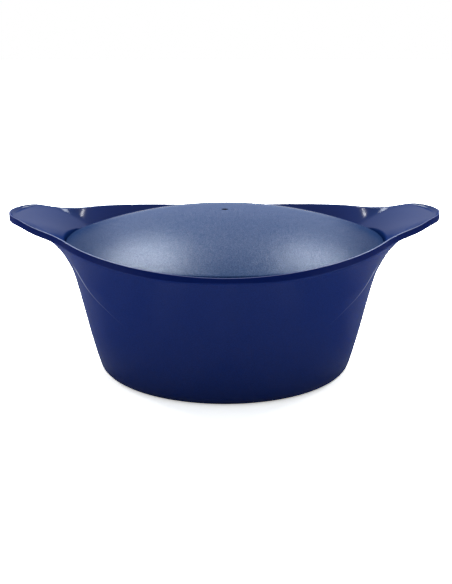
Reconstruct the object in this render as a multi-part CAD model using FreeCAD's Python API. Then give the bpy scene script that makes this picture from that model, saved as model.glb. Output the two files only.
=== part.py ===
import FreeCAD, Part
import math
import os

# Casserole pot with a lift-off domed lid. Millimetres, +Z up, origin on the table under the pot's centre.
# X runs through the two wing handles, Y from front to back.

# Foot and wall of the pot, measured on the outside
foot_corner_width = 6.6
foot_corner_height = 6.0
foot_ring_width = 14.1
wall_spread = 35.6  # from the foot to the rim at the front
wall_thickness = 4.0
floor_thickness = 6.0
floor_corner_width = 7.7
floor_corner_height = 6.9

# Rim seen from above: a round front and back, a round tip on each handle, and hollow sides between them
rim_margin = 10.3  # from the edge of the lid to the rim
wing_length = 31.7  # from the round rim to the tip of a handle
tip_radius = 49.0
hollow_side_radius = 90.0

# Rim seen from the front: lowest in the middle, rising to the handle tips
rim_low_height = 101.1
rim_rise = 18.5
rim_rise_power = 2.5
rim_band_height = 4.4
rim_land_width = 3.6
handle_lip_width = 1.0

# How the wall spreads from the foot to the rim. It starts at one slope all round, and the rest of the
# spread follows a power of the height: 1 is a straight cone, as at the front, and more is hollow.
wall_slope = 0.22
handle_flare = 0.5
handle_flare_sharpness = 4

# Wing handles. Seen from the front each one leaves the wall in a straight slope and bends out to level. The
# upper side follows the underside at one thickness.
handle_thickness = 3.3
handle_lip_height = 0.8
handle_bend_radius = 47.0
scoop_foot_step = 1.6
scoop_side_margin = 1.7

# Level sections of the handle surfaces are arcs. Their radius grows with height and is largest, and the arcs
# flattest, a little below the rim.
level_radius_margin = 5.3
level_radius_growth = 0.395
scoop_flattest_height = 91.5
scoop_flattening = 57.0
scoop_flattening_span = 20.2
trough_flattest_height = 98.0
trough_flattening = 66.0
trough_flattening_span = 22.0

# Seat for the lid inside the rim
seat_drop = 5.1
seat_width = 2.0
seat_depth = 30.0

# Lid
lid_radius = 120.0
lid_clearance = 0.8
lid_edge_height = 4.2
lid_edge_round = 1.2
dome_rise = 21.1
lid_thickness = 3.6
skirt_gap = 6.5
skirt_width = 3.0
skirt_depth = 6.0
vent_diameter = 3.5

# Steel disc that lets the pot heat on an induction hob
disc_thickness = 1.6
disc_inset = 0.3
disc_clearance = 0.1

# Number of points taken along curves that follow a formula
points_around = 80
points_across = 13
points_along_saddle = 25
wall_levels = 14
wall_level_crowding = 1.7  # 1 spaces the levels of a wall evenly, and more crowds them at its rounded corner
corner_levels = 6
handle_straight_rows = 5
handle_bend_rows = 9
handle_surface_bottom = 2.0
seam_turn = 0.25  # the seam of each wall surface faces the back, clear of the handles
edge_tolerance = 0.01

# Heights and radii that follow from the values above
above_rim = 5.0
rim_radius = lid_radius + rim_margin
tip_reach = rim_radius + wing_length
foot_radius = rim_radius - wall_spread  # where the wall would meet the table with a sharp corner
disc_radius = foot_radius - foot_corner_width - foot_ring_width
scoop_half_width = foot_radius - scoop_side_margin
level_radius_at_foot = foot_radius + level_radius_margin
rim_high_height = rim_low_height + rim_rise
ceiling_height = rim_high_height + above_rim
handle_underside_height = rim_high_height - handle_lip_height - handle_thickness
seat_height = rim_low_height - seat_drop
seat_inner_radius = lid_radius - seat_width
skirt_outer_radius = seat_inner_radius - skirt_gap


def vector(x, y, z):
    return FreeCAD.Vector(x, y, z)


def hollow_side_centre():
    """Centre of the arc that touches both the round rim and the round tip from outside."""
    tip_centre = tip_reach - tip_radius
    to_rim = rim_radius + hollow_side_radius
    to_tip = tip_radius + hollow_side_radius
    x = (to_rim ** 2 - to_tip ** 2 + tip_centre ** 2) / (2 * tip_centre)
    return x, math.sqrt(to_rim ** 2 - x ** 2)


def rim_joints():
    """Where the hollow side meets the round rim and the round tip, at positive X and Y."""
    cx, cy = hollow_side_centre()
    tip_centre = tip_reach - tip_radius
    on_rim = rim_radius / (rim_radius + hollow_side_radius)
    on_tip = tip_radius / (tip_radius + hollow_side_radius)
    rim_joint = (cx * on_rim, cy * on_rim)
    tip_joint = (tip_centre + (cx - tip_centre) * on_tip, cy * on_tip)
    return rim_joint, tip_joint


def rim_reach(angle):
    """Distance from the centre to the rim in plan, angle measured from the handle."""
    c = abs(math.cos(angle))
    s = abs(math.sin(angle))
    rim_joint, tip_joint = rim_joints()
    folded = math.atan2(s, c)
    if folded >= math.atan2(rim_joint[1], rim_joint[0]):
        return rim_radius
    if folded >= math.atan2(tip_joint[1], tip_joint[0]):
        cx, cy = hollow_side_centre()
        along = cx * c + cy * s
        return along - math.sqrt(along ** 2 - cx ** 2 - cy ** 2 + hollow_side_radius ** 2)
    tip_centre = tip_reach - tip_radius
    along = tip_centre * c
    return along + math.sqrt(along ** 2 - tip_centre ** 2 + tip_radius ** 2)


def rim_height(x):
    """Height of the top edge of the rim at distance x from the middle."""
    quarter_turns = (abs(x) / tip_reach) ** rim_rise_power
    return rim_low_height + rim_rise * math.sin(math.pi / 2 * quarter_turns)


def handle_share(angle):
    """1 towards a handle, 0 towards the front or back."""
    return math.cos(angle) ** handle_flare_sharpness


def wall_reach(angle, z, start, inset, top):
    """Distance from the centre to a flared wall that is inset from the rim where its height is top."""
    spread = rim_reach(angle) - inset - start - wall_slope * top
    power = 1.0 + handle_flare * handle_share(angle)
    return start + wall_slope * z + spread * (z / top) ** power


def rim_height_at(angle):
    return rim_height(rim_reach(angle) * math.cos(angle))


def outer_reach(angle, z):
    """Outside of the wall, which meets the plan of the rim at the lower edge of the rim band."""
    return wall_reach(angle, z, foot_radius, 0.0, rim_height_at(angle) - rim_band_height)


def inner_reach(angle, z):
    """Inside of the wall, which meets the top of the rim a little inside its edge."""
    narrowing = math.sin(math.pi / 2 * handle_share(angle))
    inset = rim_land_width + (handle_lip_width - rim_land_width) * narrowing
    return wall_reach(angle, z, foot_radius - wall_thickness, inset, rim_height_at(angle))


def flared_solid(reach_at, bottom, corner_width, corner_height, offset, radius_at):
    """Solid inside a flared wall with a rounded bottom corner, and above both handle surfaces."""
    sections = []
    for n in range(corner_levels):
        turn = math.pi / 2 * n / corner_levels
        inset = corner_width * (1 - math.sin(turn))
        sections.append(level_section(reach_at, bottom + corner_height * (1 - math.cos(turn)), inset))
    wall_bottom = bottom + corner_height
    for n in range(wall_levels):
        share = (n / (wall_levels - 1)) ** wall_level_crowding
        z = wall_bottom + (ceiling_height - wall_bottom) * share
        sections.append(level_section(reach_at, z, 0.0))
    solid = Part.makeLoft(sections, True, False)
    for side in (1, -1):
        solid = solid.cut(below_handle(offset, radius_at, side))
    return solid


def level_section(reach_at, z, inset):
    """Closed level outline of a wall whose reach depends on angle and height."""
    turns = [n / points_around for n in range(points_around + 1)]
    ring = []
    for n in range(points_around):
        angle = 2 * math.pi * (turns[n] + seam_turn)
        r = reach_at(angle, z) - inset
        ring.append(vector(r * math.cos(angle), r * math.sin(angle), z))
    curve = Part.BSplineCurve()
    curve.interpolate(Points=ring, PeriodicFlag=True, Parameters=turns)
    return Part.Wire(curve.toShape())


def rim_prism():
    """Upright solid over the plan of the rim."""
    rim_joint, tip_joint = rim_joints()
    cx, cy = hollow_side_centre()
    mid_angle = 0.5 * (
        math.atan2(rim_joint[1] - cy, rim_joint[0] - cx)
        + math.atan2(tip_joint[1] - cy, tip_joint[0] - cx)
    )
    mid_side = (
        cx + hollow_side_radius * math.cos(mid_angle),
        cy + hollow_side_radius * math.sin(mid_angle),
    )
    edges = []
    for sx, sy in ((1, 1), (-1, 1), (-1, -1), (1, -1)):
        a = vector(sx * rim_joint[0], sy * rim_joint[1], 0)
        m = vector(sx * mid_side[0], sy * mid_side[1], 0)
        b = vector(sx * tip_joint[0], sy * tip_joint[1], 0)
        edges.append(Part.Arc(a, m, b).toShape())
    for s in (1, -1):
        left = vector(-rim_joint[0], s * rim_joint[1], 0)
        right = vector(rim_joint[0], s * rim_joint[1], 0)
        edges.append(Part.Arc(left, vector(0, s * rim_radius, 0), right).toShape())
        low = vector(s * tip_joint[0], -tip_joint[1], 0)
        high = vector(s * tip_joint[0], tip_joint[1], 0)
        edges.append(Part.Arc(low, vector(s * tip_reach, 0, 0), high).toShape())
    outline = Part.Wire(Part.__sortEdges__(edges))
    return Part.Face(outline).extrude(vector(0, 0, ceiling_height))


def above_saddle():
    """Everything above the rising top edge of the rim."""
    half = tip_reach + above_rim
    points = []
    for n in range(points_along_saddle):
        x = half * (2 * n / (points_along_saddle - 1) - 1)
        points.append(vector(x, -half, rim_height(x)))
    curve = Part.BSplineCurve()
    curve.interpolate(points)
    top = ceiling_height + above_rim
    corners = [points[-1], vector(half, -half, top), vector(-half, -half, top), points[0]]
    sides = [Part.LineSegment(a, b).toShape() for a, b in zip(corners, corners[1:])]
    face = Part.Face(Part.Wire([curve.toShape()] + sides))
    return face.extrude(vector(0, 2 * half, 0))


def handle_profile(offset):
    """Heights and reaches of a handle surface seen from the front, offset upwards from the underside."""
    slant = math.atan(wall_slope)
    centre_height = handle_underside_height - handle_bend_radius
    foot_reach = foot_radius + scoop_foot_step
    centre_reach = foot_reach + wall_slope * centre_height + handle_bend_radius / math.cos(slant)
    radius = handle_bend_radius + offset
    bend_start = centre_height + radius * math.sin(slant)
    profile = []
    for n in range(handle_straight_rows):
        z = handle_surface_bottom + (bend_start - handle_surface_bottom) * n / handle_straight_rows
        profile.append((z, foot_reach + wall_slope * z - offset / math.cos(slant)))
    for n in range(handle_bend_rows):
        turn = slant + (math.pi / 2 - slant) * n / (handle_bend_rows - 1)
        z = centre_height + radius * math.sin(turn)
        profile.append((z, centre_reach - radius * math.cos(turn)))
    profile.append((centre_height + radius, tip_reach + above_rim))
    return profile


def level_radius(z, flattest_height, flattening, span):
    """Radius of the level section of a handle surface."""
    from_flattest = (z - flattest_height) / span
    return level_radius_at_foot + level_radius_growth * z + flattening / (1 + from_flattest ** 2) ** 2


def scoop_radius(z):
    return level_radius(z, scoop_flattest_height, scoop_flattening, scoop_flattening_span)


def trough_radius(z):
    flattened = level_radius(z, trough_flattest_height, trough_flattening, trough_flattening_span)
    return flattened - handle_thickness


def below_handle(offset, radius_at, side):
    """Space under a handle surface, on the side of one handle (+1 or -1)."""
    rows = []
    for height, reach in handle_profile(offset):
        radius = radius_at(height)
        spread = math.asin(scoop_half_width / radius)
        row = []
        for n in range(points_across):
            angle = spread * (2 * n / (points_across - 1) - 1)
            x = reach - radius * (1 - math.cos(angle))
            row.append(vector(side * x, radius * math.sin(angle), height))
        rows.append(row)
    surface = Part.BSplineSurface()
    surface.interpolate(rows)
    return surface.toShape().extrude(vector(0, 0, -ceiling_height))


def cylinder(radius, bottom, top):
    return Part.makeCylinder(radius, top - bottom, vector(0, 0, bottom))


def pot_body():
    """Cast wall, floor and both wing handles in one piece."""
    body = flared_solid(outer_reach, 0.0, foot_corner_width, foot_corner_height, 0.0, scoop_radius)
    body = body.common(rim_prism())
    body = body.cut(above_saddle())
    cavity = flared_solid(
        inner_reach,
        floor_thickness,
        floor_corner_width,
        floor_corner_height,
        handle_thickness,
        trough_radius,
    )
    seat_bottom = seat_height - seat_depth
    seat = cylinder(rim_radius, seat_bottom, seat_height)
    cavity = cavity.cut(seat.cut(cylinder(seat_inner_radius, seat_bottom, seat_height)))
    cavity = cavity.fuse(cylinder(lid_radius + lid_clearance, seat_height, ceiling_height))
    body = body.cut(cavity)
    pocket_top = disc_inset + disc_thickness
    return body.cut(cylinder(disc_radius + disc_clearance, 0.0, pocket_top))


def lid():
    """Domed disc with a flat rim, a locating skirt below it and a steam vent at its crown."""
    top_edge = seat_height + lid_edge_height
    crown = top_edge + dome_rise
    sphere_radius = (lid_radius ** 2 + dome_rise ** 2) / (2 * dome_rise)
    centre_height = crown - sphere_radius
    inner_sphere = sphere_radius - lid_thickness
    skirt_inner_radius = skirt_outer_radius - skirt_width

    def on_sphere(radius, r):
        return vector(r, 0, centre_height + math.sqrt(radius ** 2 - r ** 2))

    outer_a = on_sphere(sphere_radius, lid_radius)
    outer_m = on_sphere(sphere_radius, lid_radius / 2)
    outer_b = vector(0, 0, crown)
    inner_a = vector(0, 0, centre_height + inner_sphere)
    inner_m = on_sphere(inner_sphere, skirt_inner_radius / 2)
    inner_b = on_sphere(inner_sphere, skirt_inner_radius)
    skirt_foot = seat_height - skirt_depth
    corners = [
        inner_b,
        vector(skirt_inner_radius, 0, skirt_foot),
        vector(skirt_outer_radius, 0, skirt_foot),
        vector(skirt_outer_radius, 0, seat_height),
        vector(lid_radius, 0, seat_height),
        outer_a,
    ]
    edges = [Part.LineSegment(a, b).toShape() for a, b in zip(corners, corners[1:])]
    edges.append(Part.Arc(outer_a, outer_m, outer_b).toShape())
    edges.append(Part.LineSegment(outer_b, inner_a).toShape())
    edges.append(Part.Arc(inner_a, inner_m, inner_b).toShape())
    solid = Part.Face(Part.Wire(edges)).revolve(vector(0, 0, 0), vector(0, 0, 1), 360)
    rim_edges = [
        e
        for e in solid.Edges
        if abs(e.BoundBox.ZMin - top_edge) < edge_tolerance
        and abs(e.BoundBox.ZMax - top_edge) < edge_tolerance
    ]
    solid = solid.makeFillet(lid_edge_round, rim_edges)
    return solid.cut(cylinder(vent_diameter / 2, seat_height, crown + vent_diameter))


def induction_base_plate():
    """Flat steel disc set into the underside of the pot."""
    return cylinder(disc_radius, disc_inset, disc_inset + disc_thickness)


def main():
    os.makedirs("parts", exist_ok=True)
    pieces = {
        "pot_body": pot_body(),
        "lid": lid(),
        "induction_base_plate": induction_base_plate(),
    }
    for name, shape in pieces.items():
        shape.exportStep("parts/" + name + ".step")
        print(name, "valid", shape.isValid(), "solids", len(shape.Solids), "volume", round(shape.Volume))


main()
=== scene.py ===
import math
import bpy
import numpy as np
from mathutils import Matrix


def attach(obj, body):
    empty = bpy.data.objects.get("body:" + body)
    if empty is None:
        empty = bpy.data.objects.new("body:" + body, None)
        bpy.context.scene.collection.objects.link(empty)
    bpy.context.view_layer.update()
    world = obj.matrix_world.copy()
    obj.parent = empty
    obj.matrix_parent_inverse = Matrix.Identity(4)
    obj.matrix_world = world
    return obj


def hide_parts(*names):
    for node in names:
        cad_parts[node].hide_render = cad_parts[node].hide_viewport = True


# Casserole pot: a cast body with two wing handles, a domed lid set down inside its rim, and a steel disc let
# into the underside. X runs through the handles, Y from front to back and Z up. Shapes and patterns are in
# millimetres, and become metres in the mesh. The floor, the lamps and the camera are in metres.

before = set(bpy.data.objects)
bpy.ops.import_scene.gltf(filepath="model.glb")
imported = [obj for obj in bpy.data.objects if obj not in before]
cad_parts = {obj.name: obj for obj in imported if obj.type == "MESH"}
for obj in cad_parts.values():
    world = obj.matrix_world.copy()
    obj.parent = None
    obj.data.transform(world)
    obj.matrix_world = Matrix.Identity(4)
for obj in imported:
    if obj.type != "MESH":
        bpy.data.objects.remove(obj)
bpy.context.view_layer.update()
print("frame loaded")

millimetre = 0.001
eased = {"interpolation_type": "SMOOTHSTEP"}  # a Map Range that starts and ends softly
noiseRange = (0.3, 0.7)  # nearly all values of a noise lie in it


# sRGB hex text to linear light, made lighter or darker by the gain, with alpha 1
def linear(hexColour, gain=1.0):
    parts = [int(hexColour[i : i + 2], 16) / 255 for i in (1, 3, 5)]
    return [gain * (c / 12.92 if c <= 0.04045 else ((c + 0.055) / 1.055) ** 2.4) for c in parts] + [1.0]


# Inputs go by name, or in the order of the sockets in use. What comes from a node or a socket is linked, and
# any other value is set on the socket itself.
def setInputs(tree, node, inputs):
    named = isinstance(inputs, dict)
    sockets = [node.inputs[name] for name in inputs] if named else [s for s in node.inputs if s.enabled]
    for socket, value in zip(sockets, inputs.values() if named else inputs):
        if isinstance(value, bpy.types.Node):
            value = next(output for output in value.outputs if output.enabled)
        if isinstance(value, bpy.types.NodeSocket):
            tree.links.new(value, socket)
        else:
            socket.default_value = value


def addNode(tree, kind, inputs=(), **settings):
    node = tree.nodes.new("ShaderNode" + kind)
    for name, value in settings.items():
        setattr(node, name, value)
    setInputs(tree, node, inputs)
    return node


def newMaterial(name):
    material = bpy.data.materials.new(name)
    material.use_nodes = True
    return material, material.node_tree, material.node_tree.nodes["Principled BSDF"]


# Skin over rows of points, each a ring around the axis. A quad joins two neighbours of a row to the same two
# of the next row. Looped rows go on from the last to the first. Otherwise a fan closes each end at a pole.
def ringSkin(name, rows, looped, material):
    count, around = rows.shape[:2]
    ring = np.arange(around)
    nextRing = (ring + 1) % around
    low = around * np.arange(count if looped else count - 1)[:, None]
    high = (low + around) % (count * around)
    points = rows.reshape(-1, 3)
    faces = np.stack([low + ring, low + nextRing, high + nextRing, high + ring], 2).reshape(-1, 4).tolist()
    if not looped:
        firstPole, lastPole, last = count * around, count * around + 1, (count - 1) * around
        points = np.vstack([points] + [[[0.0, 0.0, row[:, 2].mean()]] for row in (rows[0], rows[-1])])
        faces += np.stack([0 * ring + firstPole, nextRing, ring], 1).tolist()
        faces += np.stack([0 * ring + lastPole, last + ring, last + nextRing], 1).tolist()
    mesh = bpy.data.meshes.new(name)
    mesh.from_pydata((points * millimetre).tolist(), [], faces)
    mesh.update()
    mesh.polygons.foreach_set("use_smooth", np.ones(len(faces), bool))
    mesh.materials.append(material)
    piece = bpy.data.objects.new(name, mesh)
    bpy.context.scene.collection.objects.link(piece)
    return piece


# One number per point for the material to read, and none at the poles
def markPoints(piece, name, values):
    full = np.zeros(len(piece.data.vertices))
    full[: values.size] = values.ravel()
    piece.data.attributes.new(name, "FLOAT", "POINT").data.foreach_set("value", full)


# The lesser of two reaches. Where they differ by less than the width, the meeting is rounded by a parabola.
def smoothMin(a, b, width):
    share = np.clip(0.5 + 0.5 * (b - a) / width, 0.0, 1.0)
    return b + (a - b) * share - width * share * (1.0 - share)


# A round corner as a quadratic curve: it starts on the side before the corner, is drawn towards it, and ends
# on the side after it. It leaves a side at the given size from the corner, or at the middle of a short side.
def roundCorner(before, corner, after, size, steps):
    into = corner - before
    out = after - corner
    start = corner - into * np.minimum(size / np.linalg.norm(into, axis=-1, keepdims=True), 0.5)
    stop = corner + out * np.minimum(size / np.linalg.norm(out, axis=-1, keepdims=True), 0.5)
    return [
        start * (1 - t) ** 2 + corner * 2 * t * (1 - t) + stop * t**2 for t in np.linspace(0.0, 1.0, steps)
    ]


# Reads one curve per angle again at even steps of its length, so that the rows lie evenly on the surface
def evenRows(reach, height, rows):
    length = np.hypot(np.diff(reach, axis=1), np.diff(height, axis=1))
    length = np.concatenate([np.zeros((len(reach), 1)), np.cumsum(length, 1)], 1)
    out = np.empty((rows, len(reach), 2))
    for i in range(len(reach)):
        at = np.linspace(0.0, 1.0, rows) * length[i, -1]
        out[:, i, 0] = np.interp(at, length[i], reach[i])
        out[:, i, 1] = np.interp(at, length[i], height[i])
    return list(out)


# Pot body: wall, wing handles, ledge and floor in one casting. Its surfaces are reaches from the axis, worked
# out from the angle around it and the height.

potForm = {
    "footRadius": 94.7,  # where the slope of the wall would meet the table
    "footCorner": (6.6, 6.0),  # width and height of the round foot
    "wallThickness": 4.0,
    "floorHeight": 6.0,
    "floorCorner": (7.7, 6.9),  # width and height of the round corner inside
    "rimRadius": 130.3,
    "tipReach": 161.4,  # from the axis to the tip of a handle
    "tipRadius": 50.0,  # of the round tip, seen from above
    "hollowSideRadius": 70.0,  # of the hollow sides between the rim and a tip
    "rimLow": 101.1,  # height of the rim at front and back
    "rimRise": 19.6,  # from there to the tips
    "risePower": 1.8,
    "tipLift": (1.7, 149.0, 10.0),  # a swell of the rim near the tip: height, place and width
    "bandHeight": (3.6, 5.0, 30.0),  # of the edge band in the middle and beside it, and the middle's width
    "landWidth": 1.5,  # top of the rim at front and back
    "lipWidth": 1.0,  # and at the handles
    "bandRound": 0.3,  # small rounds: foot of the band and of the pocket
    "rimRound": 0.4,  # top of the rim, and above the ledge
    "ledgeRound": 0.5,  # inner edge of the ledge
    "wallSlope": 0.22,  # outwards per mm of height, at the foot
    "flare": 0.5,  # how much more hollow the wall is under a handle than at the front
    "flareSharpness": 4,
    "handleLevel": 115.5,  # where the underside of a handle would be level
    "handleThickness": 3.3,
    "bendRadius": 43.0,  # of the bend from the wall's slope out into the handle
    "scoopStep": 1.6,  # from the wall out to the scoop, at the foot
    "levelRadius": 100.0,  # of the handle's level sections at the table
    "levelGrowth": 0.395,  # and how it grows per mm of height
    "scoopFlat": (91.5, 57.0, 20.2),  # the scoop is flattest here: height, extra radius and spread
    "troughFlat": (98.0, 66.0, 22.0),  # and so is the hollow on top of the handle
    "scoopBlend": ((10, 30, 48, 85), (2.0, 4.0, 5.0, 2.4)),  # heights, and how soft the crease is there
    "troughBlend": ((96, 104, 112), (3.0, 6.0, 9.0)),
    "seatHeight": 96.0,  # ledge that the lid lies on
    "seatRadius": 118.0,  # its inner edge
    "seatWell": 120.8,  # its outer edge
    "seatDepth": 1.0,  # least thickness of the ledge where the wall below comes up to it
    "pocketRadius": 74.1,  # for the steel disc
    "pocketHeight": 1.9,
    # the painted highlight line of the crease is drawn off the crease by these shifts
    "lineHeights": (53, 56, 58.6, 61, 64, 69, 72, 76, 80, 90),  # at these heights the pale line of the crease
    "lineShifts": (10.3, 6.5, 3.1, 0.2, -2, -3.8, -4.2, -3.5, -2.1, 2.2),  # lies this far from the crease
    "lineLimit": 30.0,  # distances from the line are told apart up to this one
    "columns": 480,
    "outerRows": 78,
    "innerRows": 54,
    "wellRows": 26,
    "samples": 900,  # points of a curve before it is read again at even steps
}


# Plan of the rim: a circle round the axis, then an arc from a centre outside the rim that touches both this
# circle and the circle of the tip, then the circle of the tip. Angles are folded into one quarter.
def rimReach(angle):
    rim, tip, hollow = potForm["rimRadius"], potForm["tipRadius"], potForm["hollowSideRadius"]
    c, s = np.abs(np.cos(angle)), np.abs(np.sin(angle))
    tipCentre = potForm["tipReach"] - tip
    hollowX = ((rim + hollow) ** 2 - (tip + hollow) ** 2 + tipCentre**2) / (2 * tipCentre)
    hollowY = math.sqrt((rim + hollow) ** 2 - hollowX**2)
    rimJoint = math.atan2(hollowY, hollowX)
    share = tip / (tip + hollow)
    tipJoint = math.atan2(hollowY * share, tipCentre + (hollowX - tipCentre) * share)
    along = hollowX * c + hollowY * s
    hollowArc = along - np.sqrt(np.maximum(along**2 - hollowX**2 - hollowY**2 + hollow**2, 0))
    along = tipCentre * c
    tipArc = along + np.sqrt(np.maximum(along**2 - tipCentre**2 + tip**2, 0))
    folded = np.arctan2(s, c)
    return np.where(folded >= rimJoint, rim, np.where(folded >= tipJoint, hollowArc, tipArc))


# Height of the rim: it rises by a power of the distance from the middle, and a bell curve adds a swell near
# the tip
def rimHeight(x):
    lift, middle, width = potForm["tipLift"]
    swell = lift * np.exp(-(((np.abs(x) - middle) / width) ** 2))
    rise = potForm["rimRise"] * (np.abs(x) / potForm["tipReach"]) ** potForm["risePower"]
    return potForm["rimLow"] + rise + swell


# Height of the foot of the edge band: the full band below the rim, less by a bell curve in the middle
def bandFootHeight(x):
    middle, full, width = potForm["bandHeight"]
    return rimHeight(x) - full + (full - middle) * np.exp(-((x / width) ** 2))


# How much of an angle belongs to a handle: a power of its cosine, 1 at the tip and 0 at front and back
def handleShare(angle):
    return np.cos(angle) ** potForm["flareSharpness"]


# Reach of a wall: its slope from the foot, and the rest of the way to the rim by a power of the height
def wallReach(angle, z, start, inset, top):
    spread = rimReach(angle) - inset - start - potForm["wallSlope"] * top
    power = 1 + potForm["flare"] * handleShare(angle)
    return start + potForm["wallSlope"] * z + spread * (np.maximum(z, 0) / top) ** power


def outerWall(angle, z):
    top = bandFootHeight(rimReach(angle) * np.cos(angle))
    return wallReach(angle, z, potForm["footRadius"], 0.0, top)


def innerWall(angle, z):
    land, lip = potForm["landWidth"], potForm["lipWidth"]
    inset = land + (lip - land) * np.sin(np.pi / 2 * handleShare(angle))
    top = rimHeight(rimReach(angle) * np.cos(angle))
    return wallReach(angle, z, potForm["footRadius"] - potForm["wallThickness"], inset, top)


# Reach of a handle surface, offset inwards from the underside. Seen from the front it is a slope that bends
# out to level along a circle. Its level sections are circles. Their radius grows with the height, and swells
# near one height by a bell: one over the square of one plus the squared distance in height. Above its level
# part the surface is out of reach.
def handleReach(angle, z, offset, flat):
    outOfReach = 400.0
    slope, bend, level = potForm["wallSlope"], potForm["bendRadius"], potForm["handleLevel"]
    slant = math.atan(slope)
    foot = potForm["footRadius"] + potForm["scoopStep"]
    centreZ = level - bend
    centreX = foot + slope * centreZ + bend / math.cos(slant)
    radius = bend + offset
    straight = foot + slope * z - offset / math.cos(slant)
    bent = centreX - np.sqrt(np.maximum(radius**2 - np.maximum(z - centreZ, 0) ** 2, 0))
    profile = np.where(z < centreZ + radius * math.sin(slant), straight, bent)
    height, amount, span = flat
    bell = amount / (1 + ((z - height) / span) ** 2) ** 2
    section = potForm["levelRadius"] + potForm["levelGrowth"] * z + bell - offset
    centre = profile - section
    c, s = np.abs(np.cos(angle)), np.abs(np.sin(angle))
    reach = centre * c + np.sqrt(np.maximum(section**2 - (centre * s) ** 2, 0))
    return np.where(z >= level + offset, outOfReach, reach)


def scoopReach(angle, z):
    return handleReach(angle, z, 0.0, potForm["scoopFlat"])


# Outside and inside are each the lesser of the wall and the handle surface, with a soft crease between them
def outerReach(angle, z):
    return smoothMin(outerWall(angle, z), scoopReach(angle, z), np.interp(z, *potForm["scoopBlend"]))


def innerReach(angle, z):
    trough = handleReach(angle, z, potForm["handleThickness"], potForm["troughFlat"])
    return smoothMin(innerWall(angle, z), trough, np.interp(z, *potForm["troughBlend"]))


# How far a round corner above a flat bottom draws the skin in: a quarter of an ellipse
def cornerInset(z, corner):
    width, height = corner
    return width * (1 - np.sqrt(1 - (1 - np.minimum(z / height, 1)) ** 2))


# Height at which the inside reaches the target, found by halving the range that it must lie in
def innerHeight(angle, target, low, high):
    low, high = np.full_like(angle, low), np.full_like(angle, high)
    for _ in range(44):  # halvings, down to the last digit
        middle = (low + high) / 2
        below = innerReach(angle, middle) < target
        low, high = np.where(below, middle, low), np.where(below, high, middle)
    return (low + high) / 2


# Rows of reach and height for every angle: from the pocket under the foot out, up the outside, over the rim,
# down to the ledge and on to the floor. With them go the rows that each part of the surface has.
def potRows():
    angle = 2 * np.pi * (np.arange(potForm["columns"]) / potForm["columns"])
    wide = angle[:, None]
    fine = np.linspace(0.0, 1.0, potForm["samples"])[None, :]
    seatHeight, floor = potForm["seatHeight"], potForm["floorHeight"]
    bandRound, rimRound = potForm["bandRound"], potForm["rimRound"]
    hair = 0.1  # keeps one face from running into the next

    def pair(r, z):
        return np.stack([r + np.zeros_like(angle), z + np.zeros_like(angle)], 1)

    edge = rimReach(angle)
    bandFoot = bandFootHeight(edge * np.cos(angle))
    z = bandFoot[:, None] * (0.5 - 0.5 * np.cos(np.pi * fine))
    r = np.minimum(outerReach(wide, z) - cornerInset(z, potForm["footCorner"]), edge[:, None] - hair)
    outside = evenRows(r, z, potForm["outerRows"])
    bandCorner = pair(edge, bandFoot)
    topOut = pair(edge, rimHeight(edge * np.cos(angle)))

    reach = edge - potForm["landWidth"]
    for _ in range(4):  # the land ends where the inner wall has its own rim height
        landZ = rimHeight(reach * np.cos(angle))
        reach = innerWall(angle, landZ)
    topIn = pair(reach, landZ)
    troughTop = np.minimum(potForm["handleLevel"] + potForm["handleThickness"], landZ - hair / 2)
    lip = landZ[:, None] + (troughTop - landZ)[:, None] * np.linspace(0, 1, 40)[None, :]
    down = troughTop[:, None] + (seatHeight - troughTop)[:, None] * fine**2
    z = np.concatenate([lip, down[:, 1:]], 1)
    r = np.minimum(np.maximum(innerReach(wide, z), potForm["seatWell"]), reach[:, None])
    inside = evenRows(r, z, potForm["innerRows"])
    seatOut = inside[-1]

    seatEdge = np.minimum(potForm["seatRadius"], innerReach(angle, seatHeight + 0 * angle))
    seatIn = pair(seatEdge, seatHeight)
    wellTop = innerHeight(angle, seatEdge - hair / 10, seatHeight / 2, seatHeight)
    wellTop = np.minimum(wellTop, seatHeight - potForm["seatDepth"])
    seatFoot = pair(innerReach(angle, wellTop), wellTop)
    z = floor + (wellTop - floor)[:, None] * (1 - fine) ** 2
    r = innerReach(wide, z) - cornerInset(z - floor, potForm["floorCorner"])
    well = evenRows(r, z, potForm["wellRows"])

    pocket = potForm["pocketRadius"]
    rows = [pair(r, potForm["pocketHeight"]) for r in (20.0, 50.0, pocket - 0.2, pocket)]
    rows += roundCorner(rows[-1], pair(pocket, 0.0), outside[0], bandRound, 3)
    rows += outside
    rows += roundCorner(outside[-1], bandCorner, topOut, bandRound, 4)
    bandStart = len(rows)
    rows += [bandCorner * (1 - t) + topOut * t for t in (0.1, 0.15, 0.3, 0.5, 0.75)]  # closest at its foot
    landStart = len(rows)
    rows += roundCorner(bandCorner, topOut, topIn, rimRound, 5)
    rows += roundCorner(topOut, topIn, inside[2], rimRound, 5)
    innerStart = len(rows)
    rows += inside[2:-1]
    rows += roundCorner(inside[-2], seatOut, seatIn, rimRound, 3)
    rows += roundCorner(seatOut, seatIn, seatFoot, potForm["ledgeRound"], 4)
    rows += [seatIn * (1 - t) + seatFoot * t for t in (0.25, 0.5, 0.75)]
    rows += well
    rows += [pair(well[-1][:, 0] * share, floor) for share in (0.8, 0.55, 0.3, 0.1)]

    number = np.arange(len(rows))
    parts = {
        "outside": number < bandStart,
        "edgeBand": (number > bandStart) & (number < landStart + 2),
        "sharpEdge": (number >= landStart + 2) & (number < innerStart - 2),
        "innerSide": number >= innerStart - 2,
    }
    return angle, np.array(rows), parts


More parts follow.
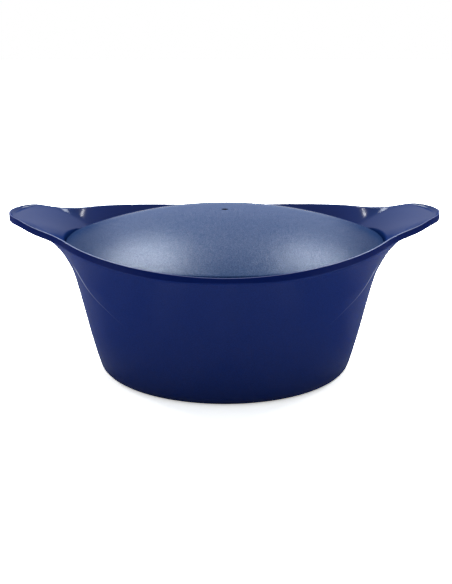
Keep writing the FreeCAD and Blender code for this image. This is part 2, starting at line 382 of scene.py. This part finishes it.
# Distance along the skin to the crease where scoop and wall have the same reach, negative on the scoop: the
# gap between the two, divided by how fast the gap changes along the skin
def creaseDistance(angle, z):
    turn, rise = 0.002, 0.2

    def gap(a, h):
        return scoopReach(a, h) - outerWall(a, h)

    reach = np.maximum(outerReach(angle, z), 1.0)
    around = (gap(angle + turn, z) - gap(angle - turn, z)) / (2 * turn * reach)
    upward = (gap(angle, z + rise) - gap(angle, z - rise)) / (2 * rise)
    lean = (outerReach(angle, z + rise) - outerReach(angle, z - rise)) / (2 * rise)
    steep = np.sqrt(around**2 + upward**2 / (1 + lean**2)) + 1e-4  # never quite 0
    return np.clip(gap(angle, z) / steep, -potForm["lineLimit"], potForm["lineLimit"])


# Points of the pot, with the numbers per point that its coating reads
def potSkin():
    angle, rows, parts = potRows()
    reach, z = rows[:, :, 0], rows[:, :, 1]
    points = np.stack([reach * np.cos(angle), reach * np.sin(angle), z], 2)
    line = creaseDistance(angle[None, :], z) - np.interp(z, potForm["lineHeights"], potForm["lineShifts"])
    marks = {"lineDistance": np.where(parts.pop("outside")[:, None], line, potForm["lineLimit"])}
    for name, part in parts.items():
        marks[name] = part[:, None] + 0 * z
    return points, marks


# Enamel-like coating, sprayed on cast aluminium and baked. It gives a deep navy with a soft gloss over a
# faint orange peel. The edge band is coloured darker as painted shade, the pale lines along the crease and
# the edge of the rim are painted highlights, and the inner side is a lighter navy as painted light.
potCoat = {
    "colour": "#0d2973",
    "mottle": 0.14,  # how much lighter and darker the grain is
    # painted shade: the edge band is coloured darker than the wall, and has less gloss
    "bandShadeColour": "#0a1e60",
    "bandFade": (0.3, 0.7),  # between the last row of the band and the next one
    # colour of the painted highlights along the crease and on the edge of the rim
    "paleHighlightColour": "#a4b0d8",
    # painted light: the inner side is coloured lighter than the outside, a little less so out in the handle
    # hollows
    "litInnerColour": "#17337c",
    "litHollowColour": "#17336e",  # of the inner side out in the handles
    "hollowStart": (100, 125),  # from the middle
    "grain": (0.5, 2.0),  # width and detail, drawn coarser than the real grain so that it shows
    "peel": (4.0, 1.0),
    "cloud": (30.0, 3.0),  # slow change of roughness
    "grainBump": (0.08, 0.05),  # strength, and depth in millimetres
    "peelBump": (0.15, 0.08),
    "roughness": (0.36, 0.46),  # lowest and highest
    # painted highlight along the crease, with added gloss: its width, heights and sides follow
    "lineWidth": (1.2, 0.2),  # the crease line starts and is full at these distances from its middle
    "lineRise": (48, 98),  # heights between which it comes up
    "lineEnd": (96, 90),  # and between which it goes again, under the band
    "lineSides": (30, 50),  # it is left out nearer than this to the middle of a handle, front to back
    "linePaleness": 0.7,
    "lineGloss": 0.4,  # coat weight that the line adds
    # painted highlight along the rounded top of the rim, from the middle out to the tips
    "rimHighlightOut": (30, 100, 0.15, 0.7),  # the rim's pale edge, from the middle to the handles
    "rimHighlightTip": (125, 155, 1.0, 0.25),  # and from there to the tips
    "coatWeight": 0.17,
    "bandWeight": 0.3,  # share of that on the edge band
    "coatIor": 1.65,
    "coatRoughness": 0.14,
}


def potCoating():
    coat = potCoat
    material, tree, shader = newMaterial("bakedNavyCoatingOnCastAluminium")
    place = addNode(tree, "TexCoord").outputs["Object"]
    sized = addNode(tree, "VectorMath", (place, 1 / millimetre), operation="SCALE")  # in millimetres
    x, y, height = addNode(tree, "SeparateXYZ", (sized,)).outputs
    side, deep = [addNode(tree, "Math", (value,), operation="ABSOLUTE") for value in (x, y)]
    grain, peel, cloud = [
        addNode(tree, "TexNoise", {"Vector": place, "Scale": 1 / (width * millimetre), "Detail": detail})
        for width, detail in (coat["grain"], coat["peel"], coat["cloud"])
    ]
    lineDistance, edgeBand, rimHighlight, inner = [
        addNode(tree, "Attribute", attribute_name=name).outputs["Fac"]
        for name in ("lineDistance", "edgeBand", "sharpEdge", "innerSide")
    ]
    near = addNode(tree, "Math", (lineDistance,), operation="ABSOLUTE")
    band = addNode(tree, "MapRange", (edgeBand, *coat["bandFade"]), **eased)

    # shares of the painted highlights: the pale line along the crease and the pale edge of the rim
    rise = addNode(tree, "MapRange", (height, *coat["lineRise"]), **eased)
    line = addNode(tree, "Math", (rise, 2.0), operation="POWER")
    for value, limits in ((deep, "lineSides"), (height, "lineEnd"), (near, "lineWidth")):
        factor = addNode(tree, "MapRange", (value, *coat[limits]), **eased)
        line = addNode(tree, "Math", (line, factor), operation="MULTIPLY")
    for limits in ("rimHighlightOut", "rimHighlightTip"):
        factor = addNode(tree, "MapRange", (side, *coat[limits]), **eased)
        rimHighlight = addNode(tree, "Math", (rimHighlight, factor), operation="MULTIPLY")

    # colours, each over the one before by its share
    innerShare = addNode(tree, "MapRange", (side, *coat["hollowStart"]), **eased)
    innerTones = (innerShare, linear(coat["litInnerColour"]), linear(coat["litHollowColour"]))
    paleHighlightColour = linear(coat["paleHighlightColour"])
    colour, light = [linear(coat["colour"], gain) for gain in (1 - coat["mottle"], 1 + coat["mottle"])]
    for share, layer in (
        (addNode(tree, "MapRange", (grain, *noiseRange), **eased), light),
        (inner, addNode(tree, "Mix", innerTones, data_type="RGBA")),
        (band, linear(coat["bandShadeColour"])),
        (addNode(tree, "Math", (line, coat["linePaleness"]), operation="MULTIPLY"), paleHighlightColour),
        (rimHighlight, paleHighlightColour),
    ):
        colour = addNode(tree, "Mix", (share, colour, layer), data_type="RGBA")

    grainBump, peelBump = [
        {"Height": pattern, "Strength": strength, "Distance": depth * millimetre}
        for pattern, (strength, depth) in ((grain, coat["grainBump"]), (peel, coat["peelBump"]))
    ]
    bump = addNode(tree, "Bump", peelBump | {"Normal": addNode(tree, "Bump", grainBump)})
    full = coat["coatWeight"]
    weight = addNode(tree, "MapRange", (band, 0.0, 1.0, full, full * coat["bandWeight"]), **eased)
    setInputs(tree, shader, {
        "Base Color": colour,
        "Roughness": addNode(tree, "MapRange", (cloud, *noiseRange, *coat["roughness"]), **eased),
        "Normal": bump,
        "Specular IOR Level": 0.0,
        "Coat Weight": addNode(tree, "Math", (line, coat["lineGloss"], weight), operation="MULTIPLY_ADD"),
        "Coat IOR": coat["coatIor"],
        "Coat Roughness": coat["coatRoughness"],
        "Coat Normal": bump,
    })
    return material


points, marks = potSkin()
pot = ringSkin("potBody", points, False, potCoating())
for name, values in marks.items():
    markPoints(pot, name, values)
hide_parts("pot_body")
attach(pot, "pot")
print("pot body", len(pot.data.polygons))


# Lid: a shallow dome with a rounded edge that lies on the ledge, a locating skirt and a steam vent

lidForm = {
    "radius": 119.5,
    "edgeHeight": 3.5,
    "rise": 21.8,  # from the top of the edge to the crown
    "thickness": 3.6,
    "skirtOuter": 111.5,
    "skirtInner": 108.5,
    "skirtFoot": 90.0,
    "ventRadius": 2.0,
    "ventRound": 0.35,
    "edgeRound": 1.0,
    "otherRounds": (0.5, 0.4, 0.7, 0.7),  # foot of the edge, root of the skirt, its outer and inner foot
    "ventRings": (2.6, 3.5, 5.0),  # reach of the first rings on the dome
    "domeRings": (8, 112, 44),  # first, last and number of those that follow
    "edgeRings": (114, 116, 117.4),
    "underRings": (104, 6, 24),  # and of those on its underside
    "columns": 360,
}


# Closed outline as reach and height: up the vent, over the dome, round the edge, around the skirt and back
# under the dome. The dome is a circle about a point on the axis, and its underside a smaller one about the
# same point.
def lidOutline():
    form = lidForm
    seat = potForm["seatHeight"]
    sphere = (form["radius"] ** 2 + form["rise"] ** 2) / (2 * form["rise"])
    under = sphere - form["thickness"]
    centre = seat + form["edgeHeight"] + form["rise"] - sphere

    def dome(radius, reach):
        return np.stack([reach, centre + np.sqrt(radius**2 - reach**2)], -1)

    ventFoot, ventTop = dome(under, form["ventRadius"]), dome(sphere, form["ventRadius"])
    rings = np.concatenate([form["ventRings"], np.linspace(*form["domeRings"]), form["edgeRings"]])
    top = list(dome(sphere, rings))
    path = [
        top[-1],
        dome(sphere, form["radius"]),
        np.array([form["radius"], seat]),
        np.array([form["skirtOuter"], seat]),
        np.array([form["skirtOuter"], form["skirtFoot"]]),
        np.array([form["skirtInner"], form["skirtFoot"]]),
        dome(under, form["skirtInner"]),
    ]
    outline = [ventFoot] + roundCorner(ventFoot, ventTop, top[0], form["ventRound"], 4) + top
    outline += roundCorner(*path[:3], form["edgeRound"], 8)
    for i, size in enumerate(form["otherRounds"], 1):
        outline += roundCorner(*path[i : i + 3], size, 4)
    return np.array(outline + path[-1:] + list(dome(under, np.linspace(*form["underRings"]))))


# The outline turned about the axis, from its end to its start, so that the faces point outwards
def lidPoints():
    outline = lidOutline()
    angle = 2 * np.pi * np.arange(lidForm["columns"]) / lidForm["columns"]
    reach = outline[:, :1]
    return np.stack([reach * np.cos(angle), reach * np.sin(angle), outline[:, 1:] + 0 * angle], 2)[::-1]


# Satin coating with pearl grains, sprayed on the lid and baked. It gives a lighter navy whose grains break up
# the highlights. Painted shade makes it darker towards the handles, where its gloss is also lower, and nearly
# black in and around the hole of the steam vent.
lidCoat = {
    "colour": "#254678",
    "mottle": 0.2,
    # painted shade: darker towards the handles, where the walls and handles shade the lid
    "handleShadeColour": "#1a2342",
    "sideStart": (70, 110),  # from the middle
    "handleShadeShare": 0.42,
    # painted shade: the vent hole and a thin ring around it are coloured nearly black
    "ventShadeColour": "#02040a",
    "ventEdge": (2.7, 2.4),  # from the axis: where its dark starts and is full
    "ventGloss": (2.4, 2.8),  # and where the gloss starts and is full
    "grain": (0.85, 3.0),  # width and detail, drawn coarser than the real grain so that it shows
    "cloud": (30.0, 3.0),
    "grainBump": (0.75, 0.14),  # strength, and depth in millimetres
    "roughness": (0.4, 0.5),
    "coatWeight": 0.27,
    "sideWeight": 0.45,  # share of that towards the handles
    "sparkle": (0.35, 0.65, 0.5, 1.5),  # how the weight goes with the grain
    "grazing": (0.87, 0.98, 0.0, 0.3),  # more weight where the surface is seen at a low angle
    "coatIor": 1.5,
    "coatRoughness": 0.27,
}


def lidCoating():
    coat = lidCoat
    material, tree, shader = newMaterial("grainedSatinNavyCoatingOnLid")
    place = addNode(tree, "TexCoord").outputs["Object"]
    sized = addNode(tree, "VectorMath", (place, 1 / millimetre), operation="SCALE")  # in millimetres
    x = addNode(tree, "SeparateXYZ", (sized,)).outputs["X"]
    side = addNode(tree, "Math", (x,), operation="ABSOLUTE")
    level = addNode(tree, "VectorMath", (sized, (1.0, 1.0, 0.0)), operation="MULTIPLY")
    reach = addNode(tree, "VectorMath", (level,), operation="LENGTH")
    facing = addNode(tree, "LayerWeight", (0.5,)).outputs["Facing"]
    grain, cloud = [
        addNode(tree, "TexNoise", {"Vector": place, "Scale": 1 / (width * millimetre), "Detail": detail})
        for width, detail in (coat["grain"], coat["cloud"])
    ]

    # colours, each over the one before by its share
    colour, light = [linear(coat["colour"], gain) for gain in (1 - coat["mottle"], 1 + coat["mottle"])]
    for value, limits, layer in (
        (grain, noiseRange, light),
        (side, (*coat["sideStart"], 0.0, coat["handleShadeShare"]), linear(coat["handleShadeColour"])),
        (reach, coat["ventEdge"], linear(coat["ventShadeColour"])),
    ):
        share = addNode(tree, "MapRange", (value, *limits), **eased)
        colour = addNode(tree, "Mix", (share, colour, layer), data_type="RGBA")
    strength, depth = coat["grainBump"]
    bump = addNode(tree, "Bump", {"Height": grain, "Strength": strength, "Distance": depth * millimetre})

    # gloss: less towards the handles, broken up by the grain, none in the vent, and more at low angles
    full = coat["coatWeight"]
    sides = (*coat["sideStart"], full, full * coat["sideWeight"])
    weight = addNode(tree, "MapRange", (side, *sides), **eased)
    for value, limits, operation in (
        (grain, coat["sparkle"], "MULTIPLY"),
        (reach, coat["ventGloss"], "MULTIPLY"),
        (facing, coat["grazing"], "ADD"),
    ):
        other = addNode(tree, "MapRange", (value, *limits), **eased)
        weight = addNode(tree, "Math", (weight, other), operation=operation)
    setInputs(tree, shader, {
        "Base Color": colour,
        "Roughness": addNode(tree, "MapRange", (cloud, *noiseRange, *coat["roughness"]), **eased),
        "Normal": bump,
        "Specular IOR Level": 0.0,
        "Coat Weight": weight,
        "Coat IOR": coat["coatIor"],
        "Coat Roughness": coat["coatRoughness"],
        "Coat Normal": bump,
    })
    return material


lid = ringSkin("domedLid", lidPoints(), True, lidCoating())
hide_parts("lid")
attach(lid, "lid")
print("lid", len(lid.data.polygons))


# Ferritic steel disc, turned on a lathe. It gives fine rings about the axis, drawn wider than the real tool
# marks so that they show, and a gloss that changes slowly.
discSteel = {
    "colour": "#b9b9ba",
    "ringSpacing": 1.0472,
    "ringWander": (0.6, 2.0, 3.0),  # distortion, its detail and the scale of that
    "ringBump": (0.25, 0.1),  # strength, and depth in millimetres
    "cloud": (16.667, 4.0),  # width and detail
    "roughness": (0.24, 0.42),
}


def turnedSteel():
    material, tree, shader = newMaterial("turnedFerriticSteelDisc")
    place = addNode(tree, "TexCoord").outputs["Object"]
    wavesPerUnit = 20 / (2 * math.pi)  # of a Wave Texture at scale 1
    scale = 1 / (discSteel["ringSpacing"] * millimetre * wavesPerUnit)
    rings = addNode(
        tree, "TexWave", (place, scale, *discSteel["ringWander"]), wave_type="RINGS", rings_direction="Z"
    )
    width, detail = discSteel["cloud"]
    cloud = addNode(tree, "TexNoise", {"Vector": place, "Scale": 1 / (width * millimetre), "Detail": detail})
    strength, depth = discSteel["ringBump"]
    tracks = {"Height": rings.outputs["Fac"], "Strength": strength, "Distance": depth * millimetre}
    setInputs(tree, shader, {
        "Base Color": linear(discSteel["colour"]),
        "Metallic": 1.0,
        "Roughness": addNode(tree, "MapRange", (cloud, 0.0, 1.0, *discSteel["roughness"])),
        "Normal": addNode(tree, "Bump", tracks),
    })
    return material


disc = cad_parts["induction_base_plate"]
disc.data.materials.clear()
disc.data.materials.append(turnedSteel())
print("materials done")


# White paper floor. The camera sees it plain white, with the shadow of the pot. Reflections see a card that
# is bright in front of the pot, with painted shadow close to it and under the handles. For all other light
# the paper has a painted shadow close to the foot and painted light on both sides of the pot.
# Limits are distances in metres, followed by the values at them.
paperFloor = {
    "half": 6.0,  # of its side
    "seen": [2.34, 2.31, 2.2, 1],  # for the camera, bright enough to come out white around the shadow
    "glow": 0.5,
    "roughness": 0.9,
    # painted shadow: the paper is darker close to the foot
    "foot": (0.095, 0.165, 0.3, 1.0),  # paper, by distance from the axis
    # painted light: the paper is lighter on both sides of the pot
    "paintedSideLight": (0.1, 0.25, 0.0, 0.8),  # lighter by this share on both sides
    "besideDepth": (-0.2, 0.0),  # which comes up from the front to the middle
    # the card, seen only in reflections: painted shadow makes it dimmer close to the pot and under the
    # handles
    "card": (-0.02, -0.14, 1.15, 2.25),  # card, from the middle to the front
    "cardEnd": (-0.45, -0.25, 0.25, 1.0),  # it fades further out in front
    "cardSide": (0.09, 0.14, 1.0, 0.5),  # it is dimmer under the handles
    "cardOuter": (0.19, 0.24, 0.5, 0.95),  # and bright again beyond them
}


def whiteStage():
    half = paperFloor["half"]
    corners = [(-half, -half, 0), (half, -half, 0), (half, half, 0), (-half, half, 0)]
    mesh = bpy.data.meshes.new("floor")
    mesh.from_pydata(corners, [], [(0, 1, 2, 3)])
    floor = bpy.data.objects.new("floor", mesh)
    bpy.context.scene.collection.objects.link(floor)
    material, tree, shader = newMaterial("whitePaperFloor")
    path = addNode(tree, "LightPath").outputs
    place = addNode(tree, "TexCoord").outputs["Object"]
    away = addNode(tree, "VectorMath", (place,), operation="LENGTH")
    apart = addNode(tree, "SeparateXYZ", (place,)).outputs
    side, deep = addNode(tree, "Math", (apart["X"],), operation="ABSOLUTE"), apart["Y"]
    foot, paintedSideLight, besideDepth, card, cardEnd, cardSide, cardOuter = [
        addNode(tree, "MapRange", (value, *paperFloor[limits]), **eased)
        for value, limits in (
            (away, "foot"), (side, "paintedSideLight"), (deep, "besideDepth"), (deep, "card"),
            (deep, "cardEnd"), (side, "cardSide"), (side, "cardOuter"),
        )
    ]
    paintedSideLight = addNode(tree, "Math", (paintedSideLight, besideDepth, 1.0), operation="MULTIPLY_ADD")
    paperLightAndShade = addNode(tree, "Math", (foot, paintedSideLight), operation="MULTIPLY")
    card = addNode(tree, "Math", (card, cardEnd), operation="MULTIPLY")
    dim = addNode(tree, "Math", (cardSide, cardOuter), operation="MAXIMUM")
    card = addNode(tree, "Math", (card, dim), operation="MULTIPLY")
    setInputs(tree, shader, {
        "Base Color": paperLightAndShade, "Roughness": paperFloor["roughness"], "Specular IOR Level": 0.0
    })
    mirrored = addNode(tree, "BsdfDiffuse", (card,))
    white = addNode(tree, "BsdfDiffuse", (paperFloor["seen"],))
    glow = addNode(tree, "Emission", ([1, 1, 1, 1], paperFloor["glow"]))
    seen = addNode(tree, "AddShader", (white, glow))
    pick = addNode(tree, "MixShader", (path["Is Glossy Ray"], shader, mirrored))
    pick = addNode(tree, "MixShader", (path["Is Camera Ray"], pick, seen))
    setInputs(tree, tree.nodes["Material Output"], {"Surface": pick})
    mesh.materials.append(material)


# White background. The light that it casts is softer and slightly cool, more from above and from both sides.
# Limits are parts of the direction towards it, followed by the strengths at them.
studioWorld = {
    "tint": [0.94, 0.99, 0.97, 1],
    "upward": (-0.1, 1.0, 0.23, 0.36),
    "sideways": (0.45, 0.95, 0.0, 0.3),
}


def whiteWorld():
    world = bpy.data.worlds.new("studio")
    bpy.context.scene.world = world
    world.use_nodes = True
    tree = world.node_tree
    seen = tree.nodes["Background"]
    setInputs(tree, seen, ([1, 1, 1, 1], 1.0))
    toward = addNode(tree, "SeparateXYZ", (addNode(tree, "TexCoord").outputs["Generated"],)).outputs
    side = addNode(tree, "Math", (toward["X"],), operation="ABSOLUTE")
    upward = addNode(tree, "MapRange", (toward["Z"], *studioWorld["upward"]), **eased)
    sideways = addNode(tree, "MapRange", (side, *studioWorld["sideways"]), **eased)
    strength = addNode(tree, "Math", (upward, sideways), operation="ADD")
    cast = addNode(tree, "Background", (studioWorld["tint"], strength))
    path = addNode(tree, "LightPath").outputs
    clear = path["Is Camera Ray"]
    for ray in ("Is Glossy Ray", "Is Transmission Ray"):
        clear = addNode(tree, "Math", (clear, path[ray]), operation="MAXIMUM")
    pick = addNode(tree, "MixShader", (clear, cast, seen))
    setInputs(tree, tree.nodes["World Output"], {"Surface": pick})


# Turns a lamp or camera so that its negative Z axis points at the target and its Y axis leans upwards: the
# rotation's columns are its side, up and backward directions, each the cross product of the other two
def aim(thing, target):
    away = np.array(thing.location) - np.array(target)
    away = away / np.linalg.norm(away)
    side = np.cross([0, 0, 1], away)
    side = side / np.linalg.norm(side)
    up = np.cross(away, side)
    thing.rotation_euler = Matrix(np.stack([side, up, away], 1).tolist()).to_euler()


# Lamps: place, target, width, height, watts and tint. The backdrop gives a broad soft light from behind, the
# three softboxes the highlights on the lid, and the strips the streaks at the roots of the handles.
studioLamps = {
    "backdropLight": ((0.0, 1.5, 0.64), (0, 0, 0.1), 2.6, 0.62, 3.2, (1, 1, 1)),
    "backLeftSoftbox": ((-0.335, 0.85, 1.005), (0, 0, 0.08), 0.28, 0.46, 10.2, (0.86, 0.93, 1)),
    "backMiddleSoftbox": ((0.02, 0.91, 1.0), (0, 0, 0.08), 0.36, 0.5, 1.3, (1, 1, 1)),
    "backRightSoftbox": ((0.406, 0.845, 0.98), (0, 0, 0.08), 0.27, 0.38, 7.2, (0.82, 0.9, 1)),
    "leftStrip": ((-0.974, 0.635, 0.657), (0.115, 0.056, 0.108), 0.25, 0.035, 2.0, (1, 1, 1)),
    "rightStrip": ((0.974, 0.635, 0.657), (-0.115, 0.056, 0.108), 0.25, 0.035, 2.0, (1, 1, 1)),
}


def softbox(name, place, target, width, height, watts, tint):
    lamp = bpy.data.lights.new(name, "AREA")
    lamp.shape = "RECTANGLE"
    lamp.size = width
    lamp.size_y = height
    lamp.energy = watts
    lamp.color = tint
    box = bpy.data.objects.new(name, lamp)
    box.location = place
    bpy.context.scene.collection.objects.link(box)
    aim(box, target)


# Camera fitted to the rim, the lid and the foot in the photograph
photoView = {
    "imageSize": (452, 584),  # pixels, as are the next two
    "focalLength": 987,
    "opticalCentre": (224.8, 287.64),
    "target": (0.0, 0.0, 0.060),
    "distance": 0.760,  # from the target
    "elevation": 15.15,  # degrees above the target
    "turn": 0.75,  # degrees to the left of the front
    "sensor": 36.0,  # millimetres
    "nearest": 0.01,
}


def photoCamera():
    view = photoView
    width, height = view["imageSize"]
    centreX, centreY = view["opticalCentre"]
    lens = bpy.data.cameras.new("photoCamera")
    lens.sensor_width = view["sensor"]
    lens.sensor_height = view["sensor"]
    lens.sensor_fit = "AUTO"
    lens.lens = view["focalLength"] / height * view["sensor"]
    lens.shift_x = (width / 2 - centreX) / height
    lens.shift_y = (centreY - height / 2) / height
    lens.clip_start = view["nearest"]
    camera = bpy.data.objects.new("photoCamera", lens)
    elevation, turn = math.radians(view["elevation"]), math.radians(view["turn"])
    level = view["distance"] * math.cos(elevation)
    offset = [-level * math.sin(turn), -level * math.cos(turn), view["distance"] * math.sin(elevation)]
    camera.location = np.array(view["target"]) + np.array(offset)
    bpy.context.scene.collection.objects.link(camera)
    aim(camera, view["target"])
    bpy.context.scene.camera = camera


whiteStage()
whiteWorld()
for name, lamp in studioLamps.items():
    softbox(name, *lamp)
photoCamera()
bpy.context.scene.view_settings.view_transform = "Standard"
print("stage done")
